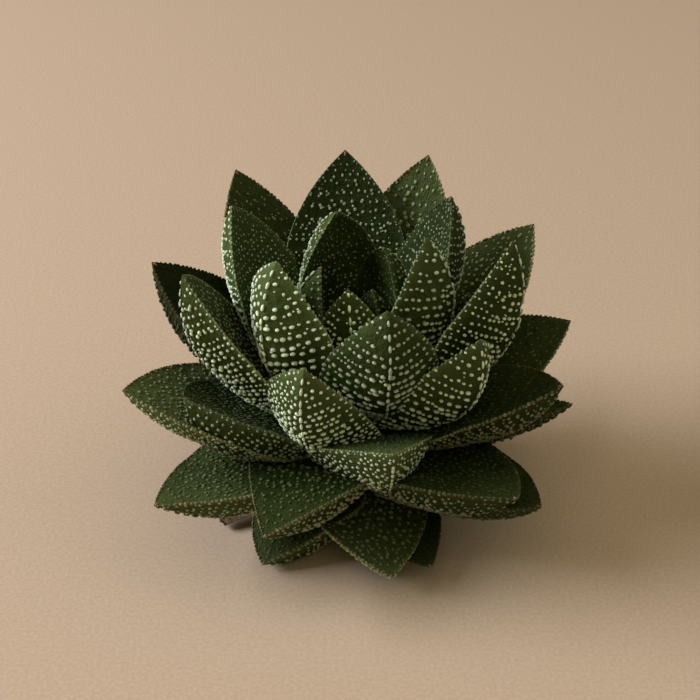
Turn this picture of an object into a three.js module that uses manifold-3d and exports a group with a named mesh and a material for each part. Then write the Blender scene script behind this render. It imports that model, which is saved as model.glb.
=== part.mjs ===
// A bare haworthia rosette: thick keeled leaves round a short tilted stem, each face set with raised
// tubercles, with dried leaf bases and root stubs under it. Millimetres, +Z up, the floor at z = 0.
// The rosette faces -Y and leans forward. Every leaf is one closed solid with its own node.

import * as THREE from 'three';
import { mergeVertices } from 'three/addons/utils/BufferGeometryUtils.js';
import Module from 'manifold-3d';

const wasm = await Module();
wasm.setup();

// --- driving dimensions ---------------------------------------------------------------------------
const LEAN = 16;              // degrees the rosette's axis leans forward, toward -Y
const ROSETTE_BASE = 13.6;    // height of the lowest leaf whorl's centre above the floor
const PLANT_SHIFT = [-1.93, 4.32]; // x and y that bring the plant's bounding box over the origin
const CLEARANCE = 0.3;        // gap kept between neighbouring pieces
const TUBERCLE = 0.45;        // height of the raised tubercles on the leaves' backs
const TUBERCLE_FRONT = 0.25;  // and on their flatter inner faces
const MARGIN_TOOTH = 0.35;    // how far the toothed margins stand out
const BASE_OFFSET = 4;        // the leaves spring from this far off the stem's axis
const LEAF_STATIONS = 11;     // rings along a leaf, before its point
const INNER_FACE = [0.5, 0, -0.5];                         // ring places across the inner face
const OUTER_FACE = [-0.68, -0.34, 0, 0.34, 0.68];           // and across the back, keel in the middle

// The stem's radius at heights along its own axis, measured from the rosette's base.
const STEM_PROFILE = [
  { height: -6, radius: 8.6 }, { height: 0, radius: 9.0 }, { height: 10, radius: 8.4 },
  { height: 20, radius: 7.2 }, { height: 28, radius: 5.4 }, { height: 33, radius: 3.8 },
  { height: 36, radius: 2.0 },
];
const STUMP_RADIUS = 9.4;     // the flat cut under the stem, on the floor
const STEM_SIDES = 20;

// One entry for each leaf. azimuth: 0 faces -Y and 90 faces +X. rise: degrees above the rosette's own
// plane halfway along. height: where it leaves the stem. bend: how much it curves up over its length.
// roll: how far its blade turns about its own length. thick: depth of the back as a share of width.
// keel: where the keel runs, off the middle. hollow: dish of the inner face. full: how blunt it ends.
const leaf = (name, azimuth, rise, length, width, height, bend, roll, thick, keel, hollow, full) => (
  { name, azimuth, rise, length, width, height, bend, roll, thick, keel, hollow, full });

const LEAVES = [
  //    name               azim   rise   len   wid   hgt   bend   roll thick   keel hollow full
  leaf('leaf_crown_1',       5,   100,    30,   20,   38,    14,     0, 0.40,  0.00,  0.10,  1.8),
  leaf('leaf_crown_2',     118,    82,    27,   15,   38,    10,     0, 0.36,  0.00,  0.10,  1.8),
  leaf('leaf_crown_3',     -95,    85,    41,   19,   36,    20,    10, 0.42,  0.00,  0.10,  2.0),
  leaf('leaf_crown_4',     138,    75,    43,   27,   33,    26,   -22, 0.36,  0.00,  0.20,  2.1),
  leaf('leaf_inner_1',    -170,    74,    54,   32,   30,    26,    30, 0.38,  0.00,  0.20,  2.2),
  leaf('leaf_inner_2',     -73,    74,  59.5, 35.5,   28,  20.5,    28, 0.39,  0.15,  0.10,  2.3),
  leaf('leaf_inner_3',      96,  73.5,    62,   32,   27,    17,   -33, 0.43,  0.15,  0.10,  2.4),
  leaf('leaf_inner_4',      29,  71.5,    57,   34,   26,    41,   -25, 0.35,  0.05,  0.10,  2.5),
  leaf('leaf_inner_5',     132,    57,    66,   36,   25,    22,   -28, 0.36,  0.00,  0.12,  2.3),
  leaf('leaf_inner_6',    -179,    44,    70,   38,   26,    18,     0, 0.32,  0.00,  0.08,  2.3),
  leaf('leaf_inner_7',    -128,    54,    66,   36,   24,    24,    18, 0.36,  0.00,  0.12,  2.3),
  leaf('leaf_middle_1',  -23.3,  63.5,  59.5, 35.4, 12.6,  23.4,     0, 0.35,  0.09,  0.16, 2.35),
  leaf('leaf_middle_2',     67,    51,    57, 36.5,   20,    28,   -30, 0.36,  0.05,  0.12,  2.6),
  leaf('leaf_middle_3',     15,    45,    62, 39.8,    7,   -17,  -5.5, 0.38,  0.18, -0.05,  1.6),
  leaf('leaf_middle_4',     94,    57,    77,   35,   20,    22,   -32, 0.48,  0.00,  0.14,  2.3),
  leaf('leaf_middle_5',    -84,    57,    77,   33,   14,     5,    12, 0.38,  0.30,  0.10,    3),
  leaf('leaf_middle_6',    -64,    34,    57,   43,   16,     5,  18.5, 0.35,  0.12,  0.10,  2.6),
  leaf('leaf_outer_1',    -149,    38,    80,   38,   15,    14,    14, 0.30,  0.00,  0.04,  2.4),
  leaf('leaf_outer_2',     156,    46,    80,   36,   15,    14,    -5, 0.30,  0.00,  0.04,  2.4),
  leaf('leaf_outer_3',    -115,    33,  72.5,   42,   14, -11.5,    20, 0.35,  0.13,  0.04,  2.5),
  leaf('leaf_outer_4',     129,    30,    80,   40,   12,    12,   -10, 0.30,  0.00,  0.04,  2.6),
  leaf('leaf_outer_5',      74,    29,    68,   43, 14.5,    -6,   -17, 0.32,  0.09,  0.06,  2.4),
  leaf('leaf_outer_6',   -75.5,    29,  71.5,   45,   10, -11.5,    12, 0.29, -0.05,  0.02,  2.3),
  leaf('leaf_outer_7',     110,  16.5,  71.5, 39.5,   11,  -1.7,    -4, 0.31, -0.14,  0.02, 2.35),
  leaf('leaf_outer_8',     176,    22,    72,   38,   11,    12,     0, 0.28,  0.00,  0.02,  2.3),
  leaf('leaf_lower_1',      45,  19.5,  66.5,   45,   11,    -7,   -22, 0.27, -0.20,  0.02,  2.3),
  leaf('leaf_lower_2',   -20.5,  18.8,  65.2,   38,   13, -17.4,     9, 0.36,  0.30,  0.00,  1.3),
  leaf('leaf_lower_3',      86,  17.5,    66,   30,    6,    -5,   -24, 0.29,  0.00,  0.00,  2.1),
  leaf('leaf_lower_4',   -51.8,  16.4,  68.7, 43.2,    6,   -17,  22.5, 0.28,  0.14,  0.00, 2.05),
  leaf('leaf_lower_5',      51,    17,    69,   41,  5.5,  -8.5,   -17, 0.29,  0.04,  0.00,  2.4),
  leaf('leaf_lower_6',     150,     8,    68,   38,    8,    10,     0, 0.28,  0.00,  0.02,  2.2),
  leaf('leaf_lower_7',    -152,    10,    68,   38,    7,    10,     0, 0.28,  0.00,  0.02,  2.2),
  leaf('leaf_lower_8',    -106,     4,    60,   36,    5,     8,     0, 0.28,  0.00,  0.00,  2.2),
  leaf('leaf_ground_1',     12,     9,    56,   36,    3,     8,   -10, 0.30,  0.00,  0.00,  1.6),
  leaf('leaf_ground_2',    -28,   0.7,  48.9, 35.4,  2.1,  -6.7,  24.5, 0.29,  0.38,  0.00,  1.9),
  leaf('leaf_ground_3',     25,     8,    53,   30,    0,     4,     0, 0.22,  0.00,  0.00,  1.8),
  leaf('leaf_ground_4',    123,    -4,    60,   36,    3,     8,     0, 0.26,  0.00,  0.00,  2.2),
  leaf('leaf_ground_5',    178,    -4,    58,   36,    3,     8,     0, 0.26,  0.00,  0.00,  2.2),
  leaf('leaf_ground_6',   -130,    -5,    58,   34,    2,     8,     0, 0.26,  0.00,  0.00,  2.2),
];

// Dried leaf bases lying under the rosette: where each leaves the stump, its size and its droop.
const DRIED_LEAVES = [
  { name: 'dried_leaf_1', azimuth: -72, height: 6.0, length: 34, width: 15, droop: 9 },
  { name: 'dried_leaf_2', azimuth: 38, height: 5.0, length: 30, width: 12, droop: 8 },
  { name: 'dried_leaf_3', azimuth: 96, height: 6.5, length: 27, width: 13, droop: 11 },
  { name: 'dried_leaf_4', azimuth: 160, height: 6.0, length: 28, width: 14, droop: 10 },
  { name: 'dried_leaf_5', azimuth: -140, height: 5.5, length: 27, width: 13, droop: 9 },
];

// --- materials ------------------------------------------------------------------------------------
const LEAF_COLOURS = {
  crown: 0x55683f, inner: 0x4d6040, middle: 0x4a5c3c, outer: 0x3b4c30, lower: 0x344429, ground: 0x303c26,
};
const leafMaterial = (name) => new THREE.MeshStandardMaterial({
  color: LEAF_COLOURS[name.split('_')[1]], roughness: 0.5, metalness: 0 });
const stemMaterial = new THREE.MeshStandardMaterial({ color: 0x6b5a3c, roughness: 0.8, metalness: 0 });
const driedMaterial = new THREE.MeshStandardMaterial({ color: 0x5a463a, roughness: 0.9, metalness: 0 });

// --- helpers --------------------------------------------------------------------------------------
const radians = (degrees) => degrees * Math.PI / 180;
const clamp = (value, low, high) => Math.min(high, Math.max(low, value));

/** Rises from `base` to 1 at `widest`, then falls to 0 at the point. */
function taper(along, widest, base, full) {
  const start = clamp(along / widest, 0, 1);
  const end = clamp((along - widest) / (1 - widest), 0, 1);
  const swell = base + (1 - base) * start * start * (3 - 2 * start);
  return swell * (1 - end ** full);
}

/** Carries a point of the rosette's own frame into the part's frame: the lean, then the shift. */
function toPart(point) {
  const lean = radians(LEAN);
  const y = point.y * Math.cos(lean) - point.z * Math.sin(lean);
  const z = point.y * Math.sin(lean) + point.z * Math.cos(lean);
  return new THREE.Vector3(point.x + PLANT_SHIFT[0], y + PLANT_SHIFT[1], z + ROSETTE_BASE);
}

/** The spine of a leaf at a share `along` its length: its place and its width, depth and length axes. */
function spine(form, along) {
  const turn = radians(form.azimuth);
  const outward = new THREE.Vector3(Math.sin(turn), -Math.cos(turn), 0);
  const across = new THREE.Vector3(Math.cos(turn), Math.sin(turn), 0);
  const up = new THREE.Vector3(0, 0, 1);
  const bend = radians(form.bend);
  const start = radians(form.rise) - bend / 2;
  const angle = start + bend * along;
  const reach = form.length / bend * (Math.sin(angle) - Math.sin(start));
  const climb = -form.length / bend * (Math.cos(angle) - Math.cos(start));
  const place = outward.clone().multiplyScalar(BASE_OFFSET + reach)
    .addScaledVector(up, form.height + climb);
  const normal = outward.clone().multiplyScalar(-Math.sin(angle)).addScaledVector(up, Math.cos(angle));
  const roll = radians(form.roll) * clamp(1.6 * along, 0, 1);
  const side = across.clone().multiplyScalar(Math.cos(roll)).addScaledVector(normal, Math.sin(roll));
  const face = normal.clone().multiplyScalar(Math.cos(roll)).addScaledVector(across, -Math.sin(roll));
  return { place, side, face };
}

/** A point of the leaf's skin. place runs from -1 to 1 across it; grow swells the leaf evenly. */
function leafPoint(form, along, place, isBack, lift, grow) {
  const frame = spine(form, along);
  const outline = taper(along, 0.42, 0.45, form.full);
  const halfWidth = form.width / 2 * outline;
  let depth;
  if (isBack) {
    const off = place >= form.keel ? (place - form.keel) / (1 - form.keel)
      : (form.keel - place) / (1 + form.keel);
    const thick = form.width * form.thick * taper(along, 0.5, 0.45, form.full + 0.2);
    depth = -thick * (1 - off) * (1 + 0.6 * off) - lift - grow;
  } else {
    depth = -form.hollow * form.width * outline * (1 - place * place) / 2 + lift + grow;
  }
  const reach = halfWidth * place + Math.sign(place) * grow;
  return frame.place.clone().addScaledVector(frame.side, reach).addScaledVector(frame.face, depth);
}

/** Joins rings of points, a start centre and an end point into one closed geometry. The diagonals of
 *  each four-sided patch run between its lower corners, so that raised corners stand as pyramids. */
function loft(rings, start, end) {
  const count = rings[0].length;
  const positions = [];
  const push = (point) => positions.push(point.x, point.y, point.z);
  rings.forEach((ring) => ring.forEach(push));
  push(start);
  push(end);
  const startIndex = rings.length * count;
  const index = [];
  for (let i = 0; i < rings.length - 1; i += 1) {
    for (let j = 0; j < count; j += 1) {
      const a = i * count + j;
      const b = i * count + (j + 1) % count;
      const c = a + count;
      const d = b + count;
      if ((i + j) % 2 === 0) index.push(a, b, c, b, d, c);
      else index.push(a, b, d, a, d, c);
    }
  }
  for (let j = 0; j < count; j += 1) {
    const next = (j + 1) % count;
    index.push(startIndex, next, j);
    const last = (rings.length - 1) * count;
    index.push(startIndex + 1, last + j, last + next);
  }
  const geometry = new THREE.BufferGeometry();
  geometry.setAttribute('position', new THREE.Float32BufferAttribute(positions, 3));
  geometry.setIndex(index);
  return geometry;
}

/** A leaf's closed skin. With relief it carries tubercles and teeth; grow makes a plain swollen copy. */
function leafGeometry(form, grow = 0) {
  const relief = grow === 0;
  const rings = [];
  for (let i = 0; i <= LEAF_STATIONS; i += 1) {
    const along = 0.985 * (i / LEAF_STATIONS) ** 0.92;
    const strength = relief ? clamp((along - 0.12) * 5, 0, 1) * clamp((1 - along) * 8, 0, 1) : 0;
    const ring = [];
    const add = (place, isBack, isMargin) => {
      const raised = (i + ring.length) % 2 === 0 ? strength : 0;
      const height = isMargin ? 0 : raised * (isBack ? TUBERCLE : TUBERCLE_FRONT);
      const tooth = isMargin && relief ? raised * MARGIN_TOOTH : 0;
      const point = leafPoint(form, along, place, isBack, height, isMargin ? 0.6 * grow : grow);
      if (isMargin) point.addScaledVector(spine(form, along).side, Math.sign(place) * (tooth + 0.7 * grow));
      ring.push(toPart(point));
    };
    add(1, false, true);
    INNER_FACE.forEach((place) => add(place, false, false));
    add(-1, false, true);
    OUTER_FACE.forEach((place) => add(place, true, false));
    rings.push(ring);
  }
  const root = toPart(leafPoint(form, 0, 0, true, -0.5 * form.width * form.thick * 0.45, 0));
  const beyond = relief ? 1 : 1 + grow / form.length;
  const point = toPart(spine(form, beyond).place);
  return loft(rings, root, point);
}

/** Turns a closed geometry into a solid. */
function toSolid(geometry) {
  const bare = geometry.clone();
  Object.keys(bare.attributes).forEach((key) => { if (key !== 'position') bare.deleteAttribute(key); });
  const merged = mergeVertices(bare, 1e-4);
  const mesh = new wasm.Mesh({
    numProp: 3,
    vertProperties: new Float32Array(merged.attributes.position.array),
    triVerts: new Uint32Array(merged.index.array),
  });
  return new wasm.Manifold(mesh);
}

/** Turns a solid back into a geometry. */
function toGeometry(solid) {
  const mesh = solid.getMesh();
  const geometry = new THREE.BufferGeometry();
  const positions = new Float32Array(mesh.numVert * 3);
  for (let i = 0; i < mesh.numVert; i += 1) {
    for (let k = 0; k < 3; k += 1) positions[i * 3 + k] = mesh.vertProperties[i * mesh.numProp + k];
  }
  geometry.setAttribute('position', new THREE.BufferAttribute(positions, 3));
  geometry.setIndex(new THREE.BufferAttribute(new Uint32Array(mesh.triVerts), 1));
  return geometry;
}

/** The largest of a solid's separate bodies, with its shortest edges merged. */
function largestBody(solid) {
  const bodies = solid.simplify(0.04).decompose();
  return bodies.reduce((best, body) => (body.volume() > best.volume() ? body : best), bodies[0]);
}

/** The stem: level at the floor, then turning into the leaning axis and tapering to the crown. */
function stemGeometry(grow = 0) {
  const rings = [];
  const ring = (centre, radius, level) => {
    const points = [];
    const lean = radians(LEAN) * (1 - level);
    for (let j = 0; j < STEM_SIDES; j += 1) {
      const turn = 2 * Math.PI * j / STEM_SIDES;
      const wave = 1 + 0.05 * Math.sin(3 * turn + centre.z * 0.4) * level;
      const x = (radius * wave + grow) * Math.cos(turn);
      const y = (radius * wave + grow) * Math.sin(turn);
      points.push(new THREE.Vector3(centre.x + x, centre.y + y * Math.cos(lean),
        centre.z + y * Math.sin(lean)));
    }
    rings.push(points);
  };
  const foot = toPart(new THREE.Vector3(0, 0, -ROSETTE_BASE / Math.cos(radians(LEAN))));
  foot.z = 0;
  ring(foot, STUMP_RADIUS, 1);
  ring(foot.clone().lerp(toPart(new THREE.Vector3(0, 0, -6)), 0.45), STUMP_RADIUS * 0.96, 0.7);
  STEM_PROFILE.forEach(({ height, radius }) => {
    ring(toPart(new THREE.Vector3(0, 0, height)), radius, 0);
  });
  const top = STEM_PROFILE[STEM_PROFILE.length - 1];
  return loft(rings, foot, toPart(new THREE.Vector3(0, 0, top.height + 1 + grow)));
}

/** A dried leaf base: a thin curled blade that droops from the stump toward the floor. */
function driedGeometry(form, grow = 0) {
  const turn = radians(form.azimuth);
  const outward = new THREE.Vector3(Math.sin(turn), -Math.cos(turn), 0);
  const across = new THREE.Vector3(Math.cos(turn), Math.sin(turn), 0);
  const foot = toPart(new THREE.Vector3(0, 0, -ROSETTE_BASE / Math.cos(radians(LEAN))));
  const rings = [];
  const stations = 7;
  for (let i = 0; i <= stations; i += 1) {
    const along = i / stations;
    const half = form.width / 2 * (0.75 + 0.35 * Math.sin(Math.PI * along)) * (1 - 0.35 * along ** 3);
    const drop = form.droop * along ** 1.6;
    const ring = [];
    [[1, 0.5], [0.33, 0.5], [-0.33, 0.5], [-1, 0.5], [-0.33, -0.5], [0.33, -0.5]].forEach(([s, side]) => {
      const ragged = i === stations ? 1.4 * Math.cos(4.2 * s + form.azimuth) : 0;
      const curl = 1.5 * s * s * (1 - 0.5 * along) + 0.35 * Math.sin(9 * along + 3 * s + form.azimuth);
      const thin = Math.abs(s) === 1 ? 0 : side * (1.3 + 2 * grow);
      const z = Math.max(0.15 - grow, form.height - drop * 0.55 + curl + thin);
      ring.push(new THREE.Vector3(foot.x, foot.y, z)
        .addScaledVector(outward, 5 + form.length * along + ragged)
        .addScaledVector(across, half * s + Math.sign(s) * grow));
    });
    rings.push(ring);
  }
  const centre = (ring) => ring.reduce((sum, p) => sum.add(p), new THREE.Vector3()).divideScalar(ring.length);
  return loft(rings, centre(rings[0]), centre(rings[rings.length - 1]));
}

// --- building -------------------------------------------------------------------------------------
const group = new THREE.Group();
group.name = 'haworthia';

function addPiece(name, solid, material) {
  const mesh = new THREE.Mesh(toGeometry(solid), material);
  mesh.name = name;
  group.add(mesh);
}

const stem = toSolid(stemGeometry());
const stemSwollen = toSolid(stemGeometry(CLEARANCE));
addPiece('stem', stem, stemMaterial);

// Leaves are placed from the crown outward. Where a leaf would run into the stem or into one of the
// leaves inside it, it is cut back to a small clearance, as pressed leaves lie against each other.
const placed = [];
LEAVES.forEach((form) => {
  let solid = toSolid(leafGeometry(form)).subtract(stemSwollen);
  placed.forEach((other) => {
    if (solid.intersect(other).volume() > 0) solid = solid.subtract(other);
  });
  solid = largestBody(solid);
  placed.push(toSolid(leafGeometry(form, CLEARANCE + TUBERCLE)));
  addPiece(form.name, solid, leafMaterial(form.name));
});

DRIED_LEAVES.forEach((form) => {
  let solid = toSolid(driedGeometry(form)).subtract(stemSwollen);
  placed.forEach((other) => {
    if (solid.intersect(other).volume() > 0) solid = solid.subtract(other);
  });
  solid = largestBody(solid);
  placed.push(toSolid(driedGeometry(form, CLEARANCE)));
  addPiece(form.name, solid, driedMaterial);
});

export default group;
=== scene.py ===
"""A bare haworthia rosette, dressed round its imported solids.

Thick keeled leaves stand round a short leaning stem. Every leaf is one surface worked out as a
function of two parameters, with its tubercles, its toothed rims and its keel beads raised on it as
small closed domes. Lengths are millimetres until a mesh is made, which turns them into metres.
"""

import logging
import math
from dataclasses import dataclass, field
from enum import Enum

import bpy
import numpy as np
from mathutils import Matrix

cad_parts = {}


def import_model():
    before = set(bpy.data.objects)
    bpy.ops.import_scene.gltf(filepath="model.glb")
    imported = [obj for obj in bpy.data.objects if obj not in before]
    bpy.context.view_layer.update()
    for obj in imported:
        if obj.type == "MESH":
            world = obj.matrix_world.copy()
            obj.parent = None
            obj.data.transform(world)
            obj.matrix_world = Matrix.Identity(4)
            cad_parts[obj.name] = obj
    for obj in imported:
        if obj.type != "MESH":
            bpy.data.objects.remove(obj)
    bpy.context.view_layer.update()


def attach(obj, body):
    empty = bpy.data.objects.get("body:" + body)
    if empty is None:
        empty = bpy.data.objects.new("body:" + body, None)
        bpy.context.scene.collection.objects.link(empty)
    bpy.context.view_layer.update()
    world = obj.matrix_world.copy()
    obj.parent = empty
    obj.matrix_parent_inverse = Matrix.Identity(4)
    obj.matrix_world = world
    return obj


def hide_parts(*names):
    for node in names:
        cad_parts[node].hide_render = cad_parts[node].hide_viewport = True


log = logging.getLogger("haworthia")

Array = np.ndarray
Socket = bpy.types.NodeSocket
Range = tuple[float, float]  # a least and a most, or a start and a span
Triple = tuple[float, float, float]  # linear RGB, or three sizes

MM = 0.001  # metres in a millimetre
NEAR_TIP = 0.999  # the share of a leaf's length up to which its width isn't nothing
STEP = 0.01  # the small move along or across a leaf by which its directions are measured
UP = np.array([0.0, 0.0, 1.0])

# The plant's own frame, as the solids have it.
LEAN = 16.0  # degrees that the rosette's axis leans toward -Y
ROSETTE_BASE = 13.6  # height of the lowest whorl's centre over the floor
PLANT_SHIFT = (-1.93, 4.32)  # x and y of the rosette's axis at that height
BASE_OFFSET = 4.0  # the leaves spring from this far off the axis
BOW_POWER = 1.6  # a row's climb grows with this power of the distance from the leaf's middle


class Face(Enum):
    """The two faces of a leaf."""

    INNER = "inner"
    BACK = "back"


class Age(Enum):
    """How long a leaf has been out, which sets its colour and wear."""

    YOUNG = "young"
    GROWN = "grown"
    OLD = "old"


@dataclass(frozen=True)
class LeafForm:
    """The few sizes that shape a leaf.

    azimuth: 0 faces -Y and 90 faces +X. rise: degrees over the rosette's own plane halfway along.
    height: where it leaves the stem. bend: how much it curves up over its length. roll: how far the
    blade turns about its own length. thick: depth of the back as a share of width. keel: where the
    keel runs, off the middle. hollow: dish of the inner face. full: how blunt the leaf ends.
    """

    label: str
    azimuth: float
    rise: float
    length: float
    width: float
    height: float
    bend: float
    roll: float
    thick: float
    keel: float
    hollow: float
    full: float

    @property
    def name(self) -> str:
        """The leaf's node."""
        return f"leaf_{self.label}"


# These are the solids' own numbers.
LEAVES: tuple[LeafForm, ...] = (
    LeafForm("crown_1", 5, 100, 30, 20, 38, 14, 0, 0.4, 0.0, 0.1, 1.8),
    LeafForm("crown_2", 118, 82, 27, 15, 38, 10, 0, 0.36, 0.0, 0.1, 1.8),
    LeafForm("crown_3", -95, 85, 41, 19, 36, 20, 10, 0.42, 0.0, 0.1, 2.0),
    LeafForm("crown_4", 138, 75, 43, 27, 33, 26, -22, 0.36, 0.0, 0.2, 2.1),
    LeafForm("inner_1", -170, 74, 54, 32, 30, 26, 30, 0.38, 0.0, 0.2, 2.2),
    LeafForm("inner_2", -73, 74, 59.5, 35.5, 28, 20.5, 28, 0.39, 0.15, 0.1, 2.3),
    LeafForm("inner_3", 96, 73.5, 62, 32, 27, 17, -33, 0.43, 0.15, 0.1, 2.4),
    LeafForm("inner_4", 29, 71.5, 57, 34, 26, 41, -25, 0.35, 0.05, 0.1, 2.5),
    LeafForm("inner_5", 132, 57, 66, 36, 25, 22, -28, 0.36, 0.0, 0.12, 2.3),
    LeafForm("inner_6", -179, 44, 70, 38, 26, 18, 0, 0.32, 0.0, 0.08, 2.3),
    LeafForm("inner_7", -128, 54, 66, 36, 24, 24, 18, 0.36, 0.0, 0.12, 2.3),
    LeafForm("middle_1", -23.3, 63.5, 59.5, 35.4, 12.6, 23.4, 0, 0.35, 0.09, 0.16, 2.35),
    LeafForm("middle_2", 67, 51, 57, 36.5, 20, 28, -30, 0.36, 0.05, 0.12, 2.6),
    LeafForm("middle_3", 15, 45, 62, 39.8, 7, -17, -5.5, 0.38, 0.18, -0.05, 1.6),
    LeafForm("middle_4", 94, 57, 77, 35, 20, 22, -32, 0.48, 0.0, 0.14, 2.3),
    LeafForm("middle_5", -84, 57, 77, 33, 14, 5, 12, 0.38, 0.3, 0.1, 3),
    LeafForm("middle_6", -64, 34, 57, 43, 16, 5, 18.5, 0.35, 0.12, 0.1, 2.6),
    LeafForm("outer_1", -149, 38, 80, 38, 15, 14, 14, 0.3, 0.0, 0.04, 2.4),
    LeafForm("outer_2", 156, 46, 80, 36, 15, 14, -5, 0.3, 0.0, 0.04, 2.4),
    LeafForm("outer_3", -115, 33, 72.5, 42, 14, -11.5, 20, 0.35, 0.13, 0.04, 2.5),
    LeafForm("outer_4", 129, 30, 80, 40, 12, 12, -10, 0.3, 0.0, 0.04, 2.6),
    LeafForm("outer_5", 74, 29, 68, 43, 14.5, -6, -17, 0.32, 0.09, 0.06, 2.4),
    LeafForm("outer_6", -75.5, 29, 71.5, 45, 10, -11.5, 12, 0.29, -0.05, 0.02, 2.3),
    LeafForm("outer_7", 110, 16.5, 71.5, 39.5, 11, -1.7, -4, 0.31, -0.14, 0.02, 2.35),
    LeafForm("outer_8", 176, 22, 72, 38, 11, 12, 0, 0.28, 0.0, 0.02, 2.3),
    LeafForm("lower_1", 45, 19.5, 66.5, 45, 11, -7, -22, 0.27, -0.2, 0.02, 2.3),
    LeafForm("lower_2", -20.5, 18.8, 65.2, 38, 13, -17.4, 9, 0.36, 0.3, 0.0, 1.3),
    LeafForm("lower_3", 86, 17.5, 66, 30, 6, -5, -24, 0.29, 0.0, 0.0, 2.1),
    LeafForm("lower_4", -51.8, 16.4, 68.7, 43.2, 6, -17, 22.5, 0.28, 0.14, 0.0, 2.05),
    LeafForm("lower_5", 51, 17, 69, 41, 5.5, -8.5, -17, 0.29, 0.04, 0.0, 2.4),
    LeafForm("lower_6", 150, 8, 68, 38, 8, 10, 0, 0.28, 0.0, 0.02, 2.2),
    LeafForm("lower_7", -152, 10, 68, 38, 7, 10, 0, 0.28, 0.0, 0.02, 2.2),
    LeafForm("lower_8", -106, 4, 60, 36, 5, 8, 0, 0.28, 0.0, 0.0, 2.2),
    LeafForm("ground_1", 12, 9, 56, 36, 3, 8, -10, 0.3, 0.0, 0.0, 1.6),
    LeafForm("ground_2", -28, 0.7, 48.9, 35.4, 2.1, -6.7, 24.5, 0.29, 0.38, 0.0, 1.9),
    LeafForm("ground_3", 25, 8, 53, 30, 0, 4, 0, 0.22, 0.0, 0.0, 1.8),
    LeafForm("ground_4", 123, -4, 60, 36, 3, 8, 0, 0.26, 0.0, 0.0, 2.2),
    LeafForm("ground_5", 178, -4, 58, 36, 3, 8, 0, 0.26, 0.0, 0.0, 2.2),
    LeafForm("ground_6", -130, -5, 58, 34, 2, 8, 0, 0.26, 0.0, 0.0, 2.2),
)


@dataclass(frozen=True)
class DriedForm:
    """A withered leaf base: where it leaves the stump, its size and how far it droops."""

    name: str
    azimuth: float
    height: float
    length: float
    width: float
    droop: float


# These have their solids' numbers but for the first, whose blade is turned and longer.
DRIED_LEAVES: tuple[DriedForm, ...] = (
    DriedForm("dried_leaf_1", -56, 6.0, 42, 11, 7),
    DriedForm("dried_leaf_2", 38, 5.0, 30, 12, 8),
    DriedForm("dried_leaf_3", 96, 6.5, 27, 13, 11),
    DriedForm("dried_leaf_4", 160, 6.0, 28, 14, 10),
    DriedForm("dried_leaf_5", -140, 5.5, 27, 13, 9),
)


# --- array helpers ---


def taper(along: Array, widest: float, base: float, full: float) -> Array:
    """A share that swells from base to 1 at widest by a smooth step, then falls to 0 by a power."""
    start = np.clip(along / widest, 0, 1)
    end = np.clip((along - widest) / (1 - widest), 0, 1)
    swell = base + (1 - base) * start**2 * (3 - 2 * start)
    return swell * (1 - end**full)


def to_part(points: Array) -> Array:
    """Turns the rosette's own frame by the lean about X, then lifts and shifts it into the part's."""
    lean = math.radians(LEAN)
    x, y, z = points[..., 0], points[..., 1], points[..., 2]
    return np.stack(
        [
            x + PLANT_SHIFT[0],
            y * math.cos(lean) - z * math.sin(lean) + PLANT_SHIFT[1],
            y * math.sin(lean) + z * math.cos(lean) + ROSETTE_BASE,
        ],
        axis=-1,
    )


def turned(vectors: Array) -> Array:
    """Directions of the rosette's own frame, in the part's."""
    return to_part(vectors) - to_part(np.zeros(3))


def compass(azimuth: float) -> tuple[Array, Array]:
    """The level directions out along an azimuth in degrees and to its side."""
    turn = math.radians(azimuth)
    outward = np.array([math.sin(turn), -math.cos(turn), 0.0])
    return outward, np.array([math.cos(turn), math.sin(turn), 0.0])


def rising(values: Array, start: float, span: float, low: float = 0.0) -> Array:
    """A share that grows evenly from 0 at a start to 1 a span further on, kept between low and 1."""
    return np.clip((values - start) / span, low, 1)


def link(name: str, data: bpy.types.ID) -> bpy.types.Object:
    """Makes an object of its data and links it to the scene."""
    made = bpy.data.objects.new(name, data)
    bpy.context.scene.collection.objects.link(made)
    return made


def unit(vectors: Array) -> Array:
    """The same directions with a length of 1."""
    return vectors / np.maximum(np.linalg.norm(vectors, axis=-1, keepdims=True), 1e-12)


def ripple(a: Array, b: Array, seed: int, waves: int = 5, finest: float = 6.0) -> Array:
    """Soft unevenness between about -1 and 1: a sum of sine waves of two parameters.

    Args:
        a: the first parameter.
        b: the second parameter.
        seed: picks the waves' directions and phases.
        waves: how many waves are summed.
        finest: the highest frequency among them.

    Returns:
        An array shaped as a and b together.
    """
    rng = np.random.default_rng(seed)
    total = np.zeros(np.broadcast(a, b).shape)
    for share in np.linspace(0.3, 1.0, waves):
        fa, fb = rng.normal(0, finest * share, 2)
        total = total + np.sin(fa * a + fb * b + rng.uniform(0, 2 * math.pi)) * (1.2 - share)
    return total / math.sqrt(waves)


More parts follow.
